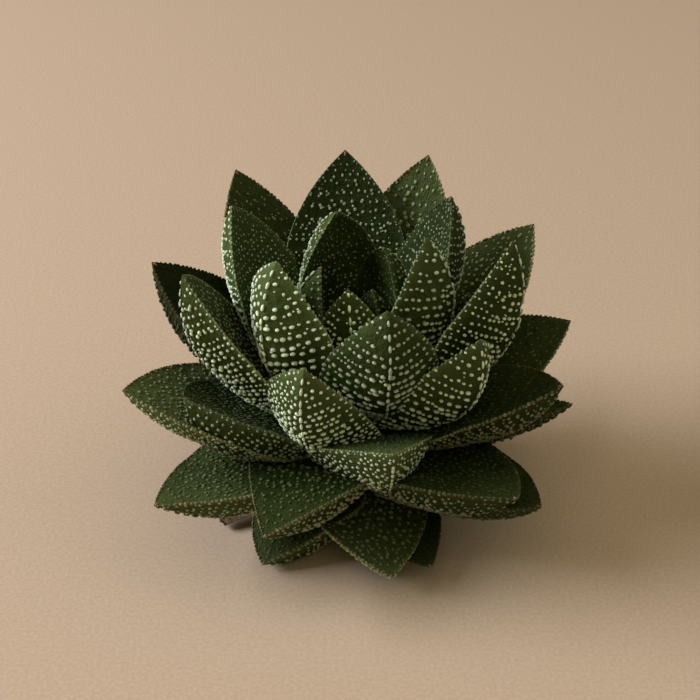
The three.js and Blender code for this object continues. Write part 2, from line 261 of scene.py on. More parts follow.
@dataclass
class MeshParts:
    """Vertices, faces and point attributes gathered from several surfaces for one mesh."""

    points: list[Array] = field(default_factory=list)
    quads: list[Array] = field(default_factory=list)
    triangles: list[Array] = field(default_factory=list)
    traits: dict[str, list[Array]] = field(default_factory=dict)
    count: int = 0

    def add(self, points: Array, quads: Array, triangles: Array, **traits: Array) -> None:
        """Adds one surface.

        Args:
            points: (n, 3) places in millimetres.
            quads: (q, 4) indices into points.
            triangles: (t, 3) indices into points.
            **traits: a value for each point, by attribute name.
        """
        self.points.append(points.reshape(-1, 3))
        self.quads.append(quads.reshape(-1, 4) + self.count)
        self.triangles.append(triangles.reshape(-1, 3) + self.count)
        for name, values in traits.items():
            self.traits.setdefault(name, []).append(np.asarray(values, float).ravel())
        self.count += len(self.points[-1])

    def build(self, node: str, finish: bpy.types.Material) -> bpy.types.Object:
        """Makes the smooth mesh of a node's piece, kept on or over the floor, and dresses it.

        Args:
            node: the name of the solid that the piece stands for.
            finish: its material.

        Returns:
            The object, with each trait as a float attribute on its points.
        """
        name = f"dressed_{node}"
        points = np.concatenate(self.points) * MM
        points[:, 2] = np.maximum(points[:, 2], 0.0)
        quads = np.concatenate(self.quads)
        triangles = np.concatenate(self.triangles)
        mesh = bpy.data.meshes.new(name)
        mesh.vertices.add(len(points))
        mesh.vertices.foreach_set("co", points.ravel())
        mesh.loops.add(quads.size + triangles.size)
        corners = np.concatenate([quads.ravel(), triangles.ravel()])
        mesh.loops.foreach_set("vertex_index", corners.astype(np.int32))
        mesh.polygons.add(len(quads) + len(triangles))
        starts = np.concatenate([np.arange(len(quads)) * 4, quads.size + np.arange(len(triangles)) * 3])
        mesh.polygons.foreach_set("loop_start", starts.astype(np.int32))
        mesh.polygons.foreach_set("use_smooth", np.full(len(mesh.polygons), True))
        mesh.update(calc_edges=True)
        mesh.validate()
        for trait, values in self.traits.items():
            layer = mesh.attributes.new(trait, "FLOAT", "POINT")
            layer.data.foreach_set("value", np.concatenate(values))
        mesh.materials.append(finish)
        return link(name, mesh)


def tube_faces(rings: int, around: int) -> tuple[Array, Array]:
    """Faces of a closed skin: rings of points one after another, then a start and an end point.

    Args:
        rings: how many rings.
        around: points in each.

    Returns:
        The quads between rings, and the triangles that close both ends.
    """
    i, j = np.meshgrid(np.arange(rings - 1), np.arange(around), indexing="ij")
    k = (j + 1) % around
    quads = np.stack([i * around + j, i * around + k, (i + 1) * around + k, (i + 1) * around + j], -1)
    j = np.arange(around)
    k = (j + 1) % around
    start, end = rings * around, rings * around + 1
    last = (rings - 1) * around
    first = np.stack([np.full(around, start), k, j], -1)
    final = np.stack([np.full(around, end), last + j, last + k], -1)
    return quads.reshape(-1, 4), np.concatenate([first, final])


@dataclass(frozen=True)
class Dome:
    """One tubercle's closed shape: a low bulb of two rings, a crown point and a buried root point."""

    sides: int = 8
    foot: float = -0.12  # height of the lower ring, just under the leaf's skin
    shoulder: float = 0.80  # radius of the upper ring
    shoulder_height: float = 0.70
    root: float = -0.55  # the buried point
    foot_pale: float = 0.32
    shoulder_pale: float = 0.92

    def template(self) -> tuple[Array, Array, Array, Array]:
        """The bulb's points, quads, triangles and paleness, with radius and height 1."""
        turn = np.arange(self.sides) * 2 * math.pi / self.sides
        circle = np.stack([np.cos(turn), np.sin(turn), np.zeros(self.sides)], -1)
        lower = circle + [0, 0, self.foot]
        upper = circle * self.shoulder + [0, 0, self.shoulder_height]
        points = np.concatenate([lower, upper, [[0, 0, self.root]], [[0, 0, 1.0]]])
        quads, triangles = tube_faces(2, self.sides)
        pale = np.append(np.repeat([self.foot_pale, self.shoulder_pale], self.sides), [0.0, 1.0])
        return points, quads, triangles, pale


@dataclass
class Beads:
    """Where a set of tubercles sits: centre, directions and half sizes of each."""

    centre: Array
    across: Array
    forward: Array
    size: Array  # half width across, half length forward, height
    pale: Array
    blush: Array

    def raise_on(self, parts: MeshParts, dome: Dome, **same: float) -> None:
        """Adds a dome for each bead to the mesh parts, all in one array operation."""
        points, quads, triangles, pale = dome.template()
        up = unit(np.cross(self.across, self.forward))
        frame = np.stack([self.across, self.forward, up], 1)
        scaled = points[None] * self.size[:, None, :]
        placed = np.einsum("nki,nij->nkj", scaled, frame) + self.centre[:, None, :]
        offset = (np.arange(len(self.centre)) * len(points))[:, None, None]
        shape = (len(self.centre), len(points))
        parts.add(
            placed,
            quads[None] + offset,
            triangles[None] + offset,
            pale=pale[None] * self.pale[:, None],
            blush=np.broadcast_to(self.blush[:, None], shape),
            **{name: np.full(shape, value) for name, value in same.items()},
        )


# --- the leaves ---


@dataclass(frozen=True)
class BeadStyle:
    """How a face is studded: spacing and size of its tubercles, in millimetres."""

    row_step: float  # from one row to the next
    gap: float  # between neighbours in a row
    half: float  # half a tubercle's width across the leaf
    long: float  # half its length along the leaf
    tall: float  # its height over the skin
    dash: float  # share of tubercles that run together across the leaf
    bow: float  # how far a row climbs toward the tip at the margins
    scatter: float = 0.28  # how far a tubercle strays from its row
    pale: float = 1.0  # 1 is the finish's pearl, 0 the skin's green
    fill: float = 0.07  # small tubercles between the rows, to a millimetre of row


BACK_STYLE = {
    Age.YOUNG: BeadStyle(2.3, 0.45, 0.80, 0.62, 0.66, dash=0.24, bow=1.6),
    Age.GROWN: BeadStyle(2.3, 0.42, 0.90, 0.70, 0.70, dash=0.30, bow=1.4),
    Age.OLD: BeadStyle(2.1, 0.50, 0.88, 0.82, 0.85, dash=0.10, bow=1.4, scatter=0.36, pale=0.62),
}
INNER_STYLE = {
    Age.YOUNG: BeadStyle(1.9, 0.90, 0.44, 0.50, 0.30, dash=0.04, bow=0.5, scatter=0.4, pale=0.50),
    Age.GROWN: BeadStyle(2.1, 0.90, 0.60, 0.66, 0.34, dash=0.05, bow=0.5, scatter=0.5, pale=0.42),
    Age.OLD: BeadStyle(2.2, 0.80, 0.74, 0.86, 0.50, dash=0.04, bow=0.4, scatter=0.6, pale=0.24),
}
# Leaves whose backs or inner faces stand out by their own studding.
OWN_BACK = {
    "crown_1": BeadStyle(2.2, 0.50, 0.82, 0.62, 0.66, dash=0.20, bow=1.2, scatter=0.2),
    "inner_1": BeadStyle(2.1, 0.35, 0.84, 0.76, 0.85, dash=0.10, bow=0.8, scatter=0.4),
    "inner_2": BeadStyle(2.9, 0.46, 1.20, 0.80, 0.84, dash=0.42, bow=0.8, scatter=0.30, fill=0.10),
    "inner_3": BeadStyle(2.7, 0.48, 1.08, 0.68, 0.76, dash=0.48, bow=0.6, scatter=0.30, fill=0.08),
    "inner_4": BeadStyle(2.55, 0.40, 1.12, 0.70, 0.74, dash=0.62, bow=0.2, scatter=0.30, fill=0.03),
    "inner_7": BeadStyle(2.1, 0.35, 0.86, 0.76, 0.80, dash=0.10, bow=0.8, scatter=0.4),
    "middle_1": BeadStyle(2.15, 0.34, 1.0, 0.66, 0.68, dash=0.50, bow=1.0, scatter=0.24, fill=0.03),
    "middle_2": BeadStyle(2.55, 0.38, 1.14, 0.70, 0.74, dash=0.60, bow=0.8, scatter=0.28, fill=0.03),
    "middle_3": BeadStyle(2.15, 0.50, 0.82, 0.72, 0.60, dash=0.14, bow=0.5, scatter=0.16, fill=0.02),
    "middle_5": BeadStyle(2.1, 0.42, 0.88, 0.84, 0.76, dash=0.12, bow=0.9, scatter=0.42),
    "middle_6": BeadStyle(2.1, 0.42, 0.84, 0.80, 0.72, dash=0.14, bow=0.9, scatter=0.36),
}
OWN_INNER = {
    "middle_3": BeadStyle(1.9, 0.80, 0.50, 0.60, 0.30, dash=0.04, bow=0.5, scatter=0.5, pale=0.22),
    "middle_6": BeadStyle(1.7, 0.55, 0.46, 0.90, 0.30, dash=0.04, bow=0.5, scatter=0.5, pale=0.46),
    "inner_6": BeadStyle(1.95, 0.85, 0.62, 0.68, 0.46, dash=0.03, bow=0.4, scatter=0.5, pale=0.80),
    "inner_5": BeadStyle(1.8, 0.80, 0.54, 0.60, 0.40, dash=0.03, bow=0.4, scatter=0.5, pale=0.68),
    "outer_1": BeadStyle(2.2, 0.95, 0.60, 0.64, 0.42, dash=0.02, bow=0.4, scatter=0.6, pale=0.40),
    "outer_2": BeadStyle(2.5, 1.00, 0.84, 0.96, 0.56, dash=0.02, bow=0.4, scatter=0.6, pale=0.32),
    "outer_5": BeadStyle(2.4, 1.00, 0.60, 0.80, 0.26, dash=0.02, bow=0.4, scatter=0.6, pale=0.20),
    "outer_7": BeadStyle(2.6, 1.10, 0.56, 0.70, 0.24, dash=0.02, bow=0.4, scatter=0.6, pale=0.18),
}
# A bead's half width, half length and height on the keel, and on a margin with how pale it is.
KEEL_STEP = 2.6
KEEL_BEAD = (0.48, 1.2, 0.5)
TOOTH_STEP = 1.12
TEETH = ((0.32, 0.66, 0.22), 0.32)
OLD_TEETH = ((0.50, 0.62, 0.38), 0.24)
# How much lighter than its age's green a leaf's skin is, then its tubercles: partly the leaf's own colour,
# partly painted light and shade, higher on leaves that catch the key and lower on leaves left in shade.
LEAF_TONES_AND_PAINTED_LIGHT = {
    "crown_1": (1.35, 3.0), "inner_1": (1.05, 1.6), "inner_2": (1.45, 2.4),
    "inner_3": (1.3, 1.75), "inner_4": (0.85, 1.25), "inner_5": (0.64, 1.2),
    "inner_6": (0.64, 1.30), "inner_7": (1.25, 2.3), "middle_1": (1.35, 2.35),
    "middle_2": (1.3, 2.3), "middle_3": (1.5, 1.9), "middle_4": (0.95, 2.1),
    "middle_5": (1.0, 2.1), "middle_6": (0.86, 0.9), "outer_1": (1.3, 1.9),
    "outer_2": (1.8, 3.2), "outer_3": (0.58, 0.45), "outer_4": (1.3, 3.2),
    "outer_5": (0.95, 1.6), "outer_6": (2.1, 2.7), "outer_7": (1.25, 2.4),
    "lower_1": (1.1, 1.3), "lower_2": (1.05, 1.8), "lower_4": (1.55, 2.1),
    "ground_1": (2.0, 3.0), "ground_2": (1.55, 2.0),
}
EVEN_TONE = (1.0, 1.0)


@dataclass(frozen=True)
class RowRule:
    """How rows of tubercles are laid over a face, and how those vary; lengths in millimetres."""

    first: float = 5.0  # the lowest row, from the stem
    short_of_tip: float = 1.0
    end_spacing: float = 0.72  # share of the row step at the leaf's ends
    middle_spacing: float = 1.2  # four times what is added halfway along
    path_points: int = 61
    margin: float = 0.45  # left clear at each side
    least: float = 0.6  # the shortest row
    widths: Range = (0.62, 1.25)
    gaps: Range = (0.4, 1.7)
    overlap: float = 0.3  # share of a half width that beads in a dash lose
    end_play: float = 0.5  # how far a row's two ends vary
    extras: Range = (0.6, 1.8)  # small beads between the rows: how many, where and how wide
    extra_places: Range = (0.35, 0.65)
    extra_widths: Range = (0.38, 0.62)
    wander: float = 0.5  # how far neighbours stray together, and how many they are
    neighbours: int = 4
    jitter: float = 0.45  # how far each strays alone
    last: float = 0.972  # share of the leaf's length where the tubercles end
    missing: float = 0.05  # share of tubercles left out at random
    keel_clear: float = 0.8  # how far the rows keep from the keel's own beads
    base_rise: Triple = (0.06, 0.25, 0.35)  # where beads start to grow, over what share, from what
    margin_loss: float = 0.30  # share of size lost at the margins
    tip_start: float = 0.5
    tip_loss: Triple = (0.48, 0.22, 0.3)  # share of width, length and height lost at the tip
    lengths: Range = (0.82, 1.15)
    heights: Range = (0.8, 1.15)
    slightest: float = 0.4  # least share of length and height that a narrow bead keeps
    pales: Range = (0.72, 1.05)
    base_pale: float = 0.35  # share of the paleness that is left at the base
    pale_rise: Range = (0.1, 0.3)  # where it starts to rise, and over what share
    blushes: Range = (0.15, 0.45)


@dataclass(frozen=True)
class RidgeRule:
    """How a line of beads is laid along a keel or a margin; lengths in millimetres."""

    first: float = 5.0
    short_of_tip: float = 0.4
    jitter: float = 0.12  # share of a step
    span: Range = (0.08, 0.992)  # shares of the leaf's length
    lean: float = 0.1  # how far teeth lean toward the inner face
    sunk: float = 0.18  # how far the teeth's middles lie inside the margin
    sizes: Range = (0.8, 1.2)
    end_slope: float = 9.0  # how fast the beads shrink to their end size at the tip
    end_size: float = 0.45
    tip_start: float = 0.96
    tip_blush: float = 0.35
    blushes: Range = (0.15, 0.5)
    pales: Range = (0.75, 1.1)


# Share of tubercles that have browned, by age: on the back's rows, and on keel and margins.
ROW_BLUSH = {Age.YOUNG: 0.012, Age.GROWN: 0.012, Age.OLD: 0.16}
RIDGE_BLUSH = {Age.YOUNG: 0.03, Age.GROWN: 0.03, Age.OLD: 0.08}


@dataclass
class Leaf:
    """One leaf: its skin, its studding and its finish."""

    form: LeafForm
    seed: int
    age: Age
    stations: int = 54
    inner_points: int = 22
    back_points: int = 34
    crowding: float = 1.35  # power that brings the stations closer toward the tip
    last_station: float = 0.994
    easings: int = 2  # times that each ring's points are averaged with their neighbours
    widest: float = 0.42
    deepest: float = 0.50
    base_share: float = 0.45
    keel_fullness: float = 0.2  # how much blunter the keel's end is than the blade's
    slope_bow: float = 0.6  # how far the back's two slopes bow out
    roll_speed: float = 1.6  # the roll is complete at 1 over this share of the length
    back_swell: float = 0.20
    inner_swell: float = 0.28
    fine_swell: float = 0.12
    rim_width: float = 0.8  # how far the margin's own colour reaches in
    tip_place: float = 0.985
    tip_size: Triple = (0.42, 0.42, 1.1)
    tip_pale: float = 0.9
    tip_blush: float = 0.7
    tip_tone: float = 0.8
    tooth_rim: float = 0.8  # how much of the margin's colour its teeth take
    row_rule: RowRule = RowRule()
    ridge_rule: RidgeRule = RidgeRule()

    def spine(self, along: Array) -> tuple[Array, Array, Array]:
        """A circular arc in the plane of the leaf's azimuth, with the blade rolled about it.

        Args:
            along: share of the leaf's length, from 0 at the stem to 1 at the tip.

        Returns:
            The place, the sideways direction and the inner face's direction at each share.
        """
        form = self.form
        bend = math.radians(form.bend)
        start = math.radians(form.rise) - bend / 2
        angle = start + bend * along
        outward, sideways = compass(form.azimuth)
        reach = form.length / bend * (np.sin(angle) - math.sin(start))
        climb = -form.length / bend * (np.cos(angle) - math.cos(start))
        place = (BASE_OFFSET + reach)[..., None] * outward + (form.height + climb)[..., None] * UP
        normal = -np.sin(angle)[..., None] * outward + np.cos(angle)[..., None] * UP
        roll = (math.radians(form.roll) * np.clip(self.roll_speed * along, 0, 1))[..., None]
        side = np.cos(roll) * sideways + np.sin(roll) * normal
        face = np.cos(roll) * normal - np.sin(roll) * sideways
        return place, side, face

    def half_width(self, along: Array) -> Array:
        """Half the blade's width in millimetres."""
        return self.form.width / 2 * taper(along, self.widest, self.base_share, self.form.full)

    def depth(self, along: Array) -> Array:
        """How far the keel stands behind the margins, in millimetres."""
        share = taper(along, self.deepest, self.base_share, self.form.full + self.keel_fullness)
        return self.form.width * self.form.thick * share

    def skin(self, along: Array, across: Array, face: Face) -> Array:
        """A point of the skin: the inner face is a shallow dish, the back two bowed slopes to a keel.

        Args:
            along: share of the length.
            across: from -1 to 1, margin to margin.
            face: which face.

        Returns:
            Places in the rosette's own frame.
        """
        form = self.form
        place, side, inward = self.spine(along)
        half = self.half_width(along)
        if face is Face.INNER:
            lift = -form.hollow * half * (1 - across**2)
        else:
            right = (across - form.keel) / (1 - form.keel)
            left = (form.keel - across) / (1 + form.keel)
            off = np.where(across >= form.keel, right, left)
            lift = -self.depth(along) * (1 - off) * (1 + self.slope_bow * off)
        return place + (half * across)[..., None] * side + lift[..., None] * inward

    def uneven(self, along: Array, across: Array, face: Face) -> Array:
        """How far the skin swells or sinks, in millimetres: broad soft lumps."""
        size = self.back_swell if face is Face.BACK else self.inner_swell
        fine = self.fine_swell * ripple(along * 9.0, across * 4.0, self.seed + 1, finest=4.0)
        return size * ripple(along * 3.0, across * 1.2, self.seed, finest=4.0) + fine

    def surface(self, along: Array, across: Array, face: Face) -> Array:
        """The skin with its unevenness, which dies out at the margins, the base and the tip."""
        hold = (1 - across**4) * np.clip(4 * (1 - along), 0, 1)
        swell = self.uneven(along, across, face) * hold
        outward = self.normal(along, across, face)
        return self.skin(along, across, face) + swell[..., None] * outward

    def normal(self, along: Array, across: Array, face: Face) -> Array:
        """The direction out of the skin, from small steps along and across it."""
        low, high = np.clip(along - STEP, 0, NEAR_TIP), np.clip(along + STEP, 0, NEAR_TIP)
        left, right = np.clip(across - STEP, -1, 1), np.clip(across + STEP, -1, 1)
        forward = self.skin(high, across, face) - self.skin(low, across, face)
        sideways = self.skin(along, right, face) - self.skin(along, left, face)
        out = unit(np.cross(sideways, forward))
        return -out if face is Face.INNER else out

    def add_skin(self, parts: MeshParts) -> None:
        """Adds the closed skin: rings round the leaf, eased where the two faces meet."""
        t = np.linspace(0, 1, self.stations)
        along = self.last_station * (1 - (1 - t) ** self.crowding)
        inner = np.sin(math.pi / 2 * np.linspace(1, -1, self.inner_points + 1))[:-1]
        back = np.sin(math.pi / 2 * np.linspace(-1, 1, self.back_points + 1))[:-1]
        grid_a, grid_i = np.meshgrid(along, inner, indexing="ij")
        grid_b, grid_k = np.meshgrid(along, back, indexing="ij")
        rings = np.concatenate(
            [self.surface(grid_a, grid_i, Face.INNER), self.surface(grid_b, grid_k, Face.BACK)], axis=1
        )
        for _ in range(self.easings):
            rings = 0.5 * rings + 0.25 * (np.roll(rings, 1, axis=1) + np.roll(rings, -1, axis=1))
        root = rings[0].mean(axis=0)
        tip = self.spine(np.array(1.0))[0]
        points = to_part(np.concatenate([rings.reshape(-1, 3), [root], [tip]]))
        quads, triangles = tube_faces(self.stations, self.inner_points + self.back_points)
        across = np.concatenate([grid_i, grid_k], axis=1)
        shares = np.concatenate([grid_a, grid_b], axis=1)
        off_margin = (1 - np.abs(across)) * self.half_width(shares)
        off_tip = (1 - shares) * self.form.length
        rim = np.exp(-np.minimum(off_margin, off_tip) / self.rim_width)
        front = np.concatenate([np.ones_like(grid_i), np.zeros_like(grid_k)], axis=1)
        ended = np.append(shares.ravel(), [0.0, 1.0])
        parts.add(
            points,
            quads,
            triangles,
            # The skin's tone: partly its own lightness, partly painted light and shade.
            tone=np.full(len(points), LEAF_TONES_AND_PAINTED_LIGHT.get(self.form.label, EVEN_TONE)[0]),
            pale=np.zeros(len(points)),
            blush=np.zeros(len(points)),
            rim=np.append(rim.ravel(), [0.0, 1.0]),
            front=np.append(front.ravel(), [1.0, 1.0]),
            along=ended,
            run=ended * self.form.length,
            across=np.append((across * self.half_width(shares)).ravel(), [0.0, 0.0]),
        )

    def bead_frame(
        self, along: Array, across: Array, face: Face, bow: float = 0.0
    ) -> tuple[Array, Array, Array]:
        """Centre and directions of beads on a face, in the part's frame.

        Args:
            along: share of the length.
            across: from -1 to 1.
            face: which face.
            bow: how far, in millimetres, the row that a bead lies in climbs to the margins.

        Returns:
            The centre, the direction along the row and the direction toward the tip.
        """
        steepness = np.sign(across) * np.abs(across) ** (BOW_POWER - 1)
        slope = BOW_POWER * bow * steepness / self.form.length
        low, high = np.clip(across - STEP, -1, 1), np.clip(across + STEP, -1, 1)
        ahead = self.skin(along + slope * (high - across), high, face)
        behind = self.skin(along + slope * (low - across), low, face)
        out = self.normal(along, across, face)
        sideways = unit(ahead - behind)
        forward = unit(np.cross(out, sideways))
        return to_part(self.surface(along, across, face)), turned(sideways), turned(forward)

    def lay_row(
        self, base: float, spacing: float, path: Array, style: BeadStyle, rng: np.random.Generator
    ) -> tuple[Array, Array, Array]:
        """Lays one row of beads along a path over the skin.

        The widths and gaps are drawn one after another and summed along the path's true length, then
        stretched to reach from margin to margin. Some beads run together into dashes, and a few small
        ones lie above the row.

        Args:
            base: share of the leaf's length where the row crosses the middle.
            spacing: millimetres to the next row.
            path: points along the row, evenly spread from margin to margin.
            style: how the face is studded.
            rng: the leaf's own random draws.

        Returns:
            The beads' shares along and across, and their half widths; empty where the row is too short.
        """
        rule = self.row_rule
        reach = np.append(0.0, np.cumsum(np.linalg.norm(np.diff(path, axis=0), axis=1)))
        girth = reach[-1] - 2 * rule.margin
        if girth <= rule.least:
            return np.empty(0), np.empty(0), np.empty(0)
        count = int(girth / (style.half + style.gap)) + 4
        half = style.half * rng.uniform(*rule.widths, count)
        gap = style.gap * rng.uniform(*rule.gaps, count)
        gap = np.where(rng.random(count) < style.dash, -rule.overlap * half, gap)
        centre = np.cumsum(2 * half + gap) - half
        keep = centre < girth
        centre, half = centre[keep], half[keep]
        if len(centre) > 1:
            reached = rng.uniform(girth - rule.end_play, girth)
            begun = rng.uniform(0.0, rule.end_play)
            centre = begun + (centre - centre[0]) * (reached - begun) / (centre[-1] - centre[0])
        spare = int(girth * style.fill * rng.uniform(*rule.extras))
        off_row = np.append(np.zeros(len(centre)), rng.uniform(*rule.extra_places, spare) * spacing)
        centre = np.append(centre, rng.uniform(0, girth, spare))
        half = np.append(half, style.half * rng.uniform(*rule.extra_widths, spare))
        across = np.interp(centre + rule.margin, reach, np.linspace(-1, 1, len(path)))
        loose = rng.normal(0, rule.wander, len(across) + rule.neighbours - 1)
        drift = np.convolve(loose, np.ones(rule.neighbours), "valid")[: len(across)]
        stray = style.scatter * (drift + rule.jitter * rng.normal(0, 1, len(across)))
        climb = style.bow * np.abs(across) ** BOW_POWER + stray + off_row
        return base + climb / self.form.length, across, half

    def rows(self, face: Face, style: BeadStyle, rng: np.random.Generator) -> Beads:
        """Studs a face with rows across it that climb toward the tip at the margins.

        Rows stand closer near the stem and the tip. The beads are smaller and darker at the base,
        and shrink toward the tip and the margins.

        Args:
            face: which face.
            style: how it is studded.
            rng: the leaf's own random draws.

        Returns:
            The beads.
        """
        rule = self.row_rule
        share = np.linspace(-1, 1, rule.path_points)
        climb = style.bow * np.abs(share) ** BOW_POWER / self.form.length
        laid = []
        distance = rule.first
        while distance < self.form.length - rule.short_of_tip:
            base = distance / self.form.length
            spacing = style.row_step * (rule.end_spacing + rule.middle_spacing * base * (1 - base))
            path = self.skin(np.minimum(base + climb, NEAR_TIP), share, face)
            laid.append(self.lay_row(base, spacing, path, style, rng))
            distance += spacing
        along, across, half = (np.concatenate(values) for values in zip(*laid))
        inside = (along < rule.last) & (rng.random(len(along)) > rule.missing)
        if face is Face.BACK:
            inside &= np.abs(across - self.form.keel) * self.half_width(along) > rule.keel_clear
        along, across, half = along[inside], across[inside], half[inside]
        count = len(half)
        lost = rising(along, rule.tip_start, 1 - rule.tip_start)[:, None] * rule.tip_loss
        grown = rising(along, *rule.base_rise) * (1 - rule.margin_loss * np.abs(across) ** 3)
        slight = grown * np.clip(half / style.half, rule.slightest, 1.0)
        length = style.long * rng.uniform(*rule.lengths, count) * slight
        height = style.tall * rng.uniform(*rule.heights, count) * slight
        size = np.stack([half * grown, length, height], -1) * (1 - lost)
        fading = rule.base_pale + (1 - rule.base_pale) * rising(along, *rule.pale_rise)
        pale = style.pale * rng.uniform(*rule.pales, count) * fading
        often = ROW_BLUSH[self.age] if face is Face.BACK else 0.0
        blush = (rng.random(count) < often) * rng.uniform(*rule.blushes, count)
        centre, sideways, forward = self.bead_frame(along, across, face, style.bow)
        return Beads(centre, sideways, forward, size, pale, blush)

    def line(
        self, across: float, step: float, size: Triple, pale: float, rng: np.random.Generator
    ) -> Beads:
        """A line of beads run lengthwise: the keel's, or a margin's pale toothed rim.

        Args:
            across: where it runs, from -1 to 1.
            step: spacing in millimetres.
            size: half width, half length and height of a bead.
            pale: how pale the beads are.
            rng: the leaf's own random draws.

        Returns:
            The beads.
        """
        rule = self.ridge_rule
        distance = np.arange(rule.first, self.form.length - rule.short_of_tip, step)
        along = (distance + rng.normal(0, rule.jitter * step, len(distance))) / self.form.length
        along = along[(along > rule.span[0]) & (along < rule.span[1])]
        count = len(along)
        centre, sideways, forward = self.bead_frame(along, np.full(count, across), Face.BACK)
        if abs(across) == 1.0:
            _, side, inward = self.spine(along)
            out = turned(unit(side * across + rule.lean * inward))
            sideways = unit(np.cross(forward, out))
            centre = centre - rule.sunk * out
        ending = np.clip((1 - along) * rule.end_slope + rule.end_size, 0, 1)[:, None]
        scale = rng.uniform(*rule.sizes, (count, 3)) * ending
        browned = rng.random(count) < RIDGE_BLUSH[self.age]
        blush = browned * rng.uniform(*rule.blushes, count)
        blush = blush + rule.tip_blush * rising(along, rule.tip_start, 1 - rule.tip_start)
        pales = pale * rng.uniform(*rule.pales, count)
        return Beads(centre, sideways, forward, np.array(size) * scale, pales, blush)

    def tip_bead(self) -> Beads:
        """The small hard point that ends the leaf."""
        along = np.array([self.tip_place])
        place, side, inward = self.spine(along)
        ahead = unit(self.spine(along + STEP)[0] - place)
        size, pale, blush = (np.array([value]) for value in (self.tip_size, self.tip_pale, self.tip_blush))
        return Beads(to_part(place + 0.1 * ahead), turned(side), -turned(inward), size, pale, blush)

    def build(self, finish: bpy.types.Material) -> bpy.types.Object:
        """Makes the leaf's mesh and dresses it."""
        rng = np.random.default_rng(self.seed)
        parts = MeshParts()
        self.add_skin(parts)
        dome = Dome()
        # The tubercles' tone: partly their own lightness, partly painted light and shade.
        tone = LEAF_TONES_AND_PAINTED_LIGHT.get(self.form.label, EVEN_TONE)[1]
        same = {"along": 0.5, "across": 0.0, "run": 0.0, "tone": tone}
        back = OWN_BACK.get(self.form.label, BACK_STYLE[self.age])
        inner = OWN_INNER.get(self.form.label, INNER_STYLE[self.age])
        self.rows(Face.BACK, back, rng).raise_on(parts, dome, rim=0.0, front=0.0, **same)
        self.rows(Face.INNER, inner, rng).raise_on(parts, dome, rim=0.0, front=1.0, **same)
        keel = self.line(self.form.keel, KEEL_STEP, KEEL_BEAD, back.pale, rng)
        keel.raise_on(parts, dome, rim=0.0, front=0.0, **same)
        for margin in (-1.0, 1.0):
            teeth = self.line(margin, TOOTH_STEP, *(OLD_TEETH if self.age is Age.OLD else TEETH), rng)
            teeth.raise_on(parts, dome, rim=self.tooth_rim, front=0.0, **same)
        same["tone"] = self.tip_tone
        self.tip_bead().raise_on(parts, dome, rim=1.0, front=0.0, **same)
        return parts.build(self.form.name, finish)


# --- the stump and what is withered ---


@dataclass
class Stem:
    """The short leaning stem, ringed with leaf scars and cut level underneath."""

    node: str = "stem"
    around: int = 72
    rings: int = 60
    scar_height: float = 0.35
    scar_pitch: float = 0.9  # radians of the scars' wave to a millimetre
    scar_sunk: float = 0.2
    bark_height: float = 0.18
    bark_seed: int = 77
    level_below: float = 4.0  # under this height the rings begin to turn level, over the next span
    level_span: float = 6.0
    crown: float = 0.8  # how far the closed top stands over the last ring
    profile: tuple[tuple[float, float], ...] = (
        (-13.6, 9.2), (-6, 8.5), (0, 8.8), (10, 8.2), (20, 7.0), (28, 5.2), (33, 3.6), (36, 1.8),
    )

    def build(self, finish: bpy.types.Material) -> bpy.types.Object:
        """A profile turned about the leaning axis; near the floor the rings turn level."""
        heights, radii = np.array(self.profile).T
        t = np.linspace(0, 1, self.rings)
        height = heights[0] + (heights[-1] - heights[0]) * t
        radius = np.interp(height, heights, radii)
        turn = np.arange(self.around) * 2 * math.pi / self.around
        grid_h, grid_t = np.meshgrid(height, turn, indexing="ij")
        wave = np.abs(np.sin(grid_h * self.scar_pitch + 0.5 * np.sin(3 * grid_t)))
        scars = self.scar_height * wave - self.scar_sunk
        girth = np.sin(grid_t) * 3 + np.cos(grid_t) * 2
        bark = self.bark_height * ripple(grid_h * 0.5, girth, self.bark_seed)
        wide = radius[:, None] + (scars + bark) * np.clip(grid_h + ROSETTE_BASE, 0, 1)
        lean = math.radians(LEAN)
        level = rising(-grid_h, self.level_below, self.level_span)
        tilt = lean * (1 - level)
        x = wide * np.cos(grid_t) + PLANT_SHIFT[0]
        y = wide * np.sin(grid_t) * np.cos(tilt) - grid_h * math.tan(lean) * level
        y = y - grid_h * math.sin(lean) * (1 - level) + PLANT_SHIFT[1]
        z = wide * np.sin(grid_t) * np.sin(tilt) + grid_h * (level + (1 - level) * math.cos(lean))
        rings = np.stack([x, y, np.maximum(z + ROSETTE_BASE, 0.0)], -1)
        ends = [rings[0].mean(0), rings[-1].mean(0) + self.crown * UP]
        points = np.concatenate([rings.reshape(-1, 3), ends])
        quads, triangles = tube_faces(self.rings, self.around)
        parts = MeshParts()
        parts.add(points, quads, triangles, shade=np.append(scars.ravel(), [0, 0]))
        return parts.build(self.node, finish)


